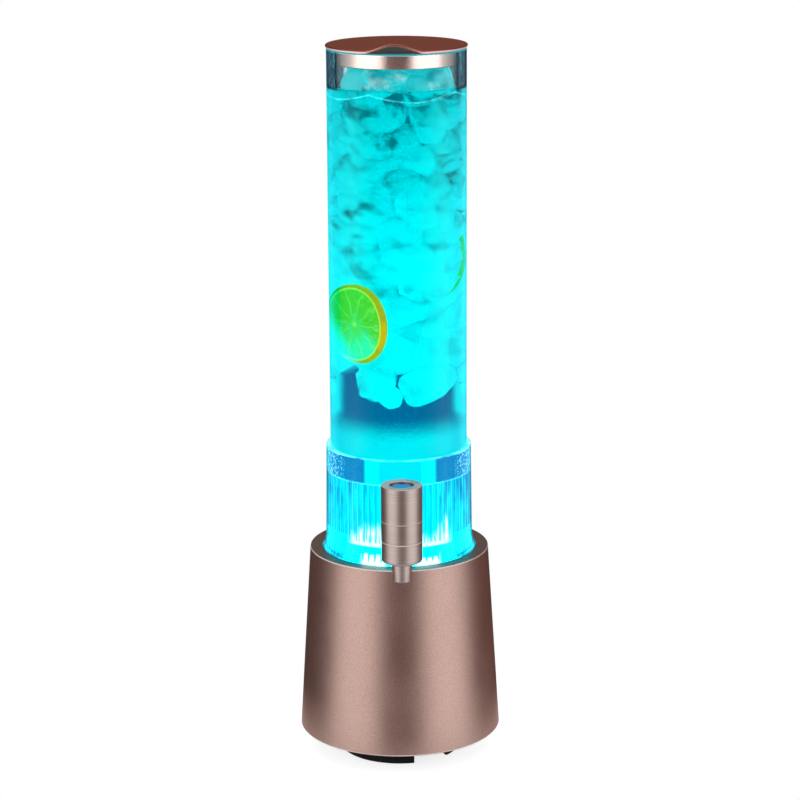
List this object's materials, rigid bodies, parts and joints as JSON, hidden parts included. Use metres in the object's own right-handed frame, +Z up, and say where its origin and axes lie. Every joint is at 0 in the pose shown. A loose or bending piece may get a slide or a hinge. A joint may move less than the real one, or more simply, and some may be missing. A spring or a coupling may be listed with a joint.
{
  "type": "drink tower dispenser",
  "caption": "Clear drink tower on a lit conical base, with a fluted light sleeve, a press-button tap and a lift-off lid.",
  "frame": {"origin": "on the tube's axis, in the plane of the table that the foot ring stands on", "axes": "+Z up along the tube's axis; the tap points along -Y; +X to the right seen from the tap's side"},
  "size_m": [0.1348, 0.1646, 0.4822],
  "materials": {
    "bronze_housing": "satin rose-bronze metallic lacquer on moulded plastic",
    "bronze_tap": "satin bronze anodised, turned",
    "bronze_lid": "satin dark rose-bronze anodised sheet",
    "bronze_plug": "satin metallic lacquer on moulded plastic",
    "clear_tube": "clear polished acrylic",
    "clear_sleeve": "clear moulded acrylic with inner flutes",
    "clear_lens": "clear window, lightly frosted",
    "glossy_button": "gloss dark button cap",
    "underside_plastic": "black moulded plastic, fine grain",
    "black_rubber": "matt black rubber",
    "white_plastic": "white moulded plastic",
    "board_laminate": "white solder mask",
    "light_chip": "light chip with phosphor window",
    "silicone": "translucent silicone",
    "steel": "plated steel",
    "cell_jacket": "plain cell jacket",
    "lead_insulation": "flexible insulated lead"
  },
  "bodies": {
    "base": {"base_shell": "bronze_housing", "base_plate": "underside_plastic", "plate_screws": "steel", "foot_ring": "black_rubber", "seat_gasket": "silicone", "lamp_lens": "clear_lens", "reflector_cup": "white_plastic", "reflector_screws": "steel", "light_board": "board_laminate", "light_chips": "light_chip", "battery_box": "underside_plastic", "batteries": "cell_jacket", "battery_contacts": "steel", "switch_body": "white_plastic", "wiring": "lead_insulation"},
    "battery_door": {"battery_door": "underside_plastic"},
    "power_button": {"power_button": "white_plastic"},
    "tower": {"tube": "clear_tube", "tube_floor": "clear_tube", "light_sleeve": "clear_sleeve", "tap_body": "bronze_tap", "tap_barrel": "bronze_tap", "tap_nozzle": "bronze_tap", "valve_seat": "steel", "outer_washer": "silicone", "inner_washer": "silicone", "tap_nut": "steel", "spindle_ring": "silicone", "return_spring": "steel"},
    "tap_plunger": {"tap_button": "glossy_button", "tap_spindle": "steel", "valve_poppet": "silicone"},
    "lid": {"lid_cover": "bronze_lid", "lid_plug": "bronze_plug", "lid_seal": "silicone"}
  },
  "joints": [
    {"name": "tower_lift", "type": "slide", "parent": "base", "child": "tower", "axis": [0, 0, 1], "range_m": [0, 0.06]},
    {"name": "lid_lift", "type": "slide", "parent": "tower", "child": "lid", "axis": [0, 0, 1], "range_m": [0, 0.045]},
    {"name": "tap_press", "type": "slide", "parent": "tower", "child": "tap_plunger", "axis": [0, 0, -1], "range_m": [0, 0.004], "stiffness_N_per_m": 600, "springref_m": -0.003, "deforming": ["return_spring"]},
    {"name": "battery_door_hinge", "type": "hinge", "parent": "base", "child": "battery_door", "pos_m": [0, 0.0275, 0.0156], "axis": [1, 0, 0], "range_deg": [0, 75]},
    {"name": "power_press", "type": "slide", "parent": "base", "child": "power_button", "axis": [0, 0, 1], "range_m": [0, 0.0012], "stiffness_N_per_m": 400, "springref_m": -0.001}
  ]
}
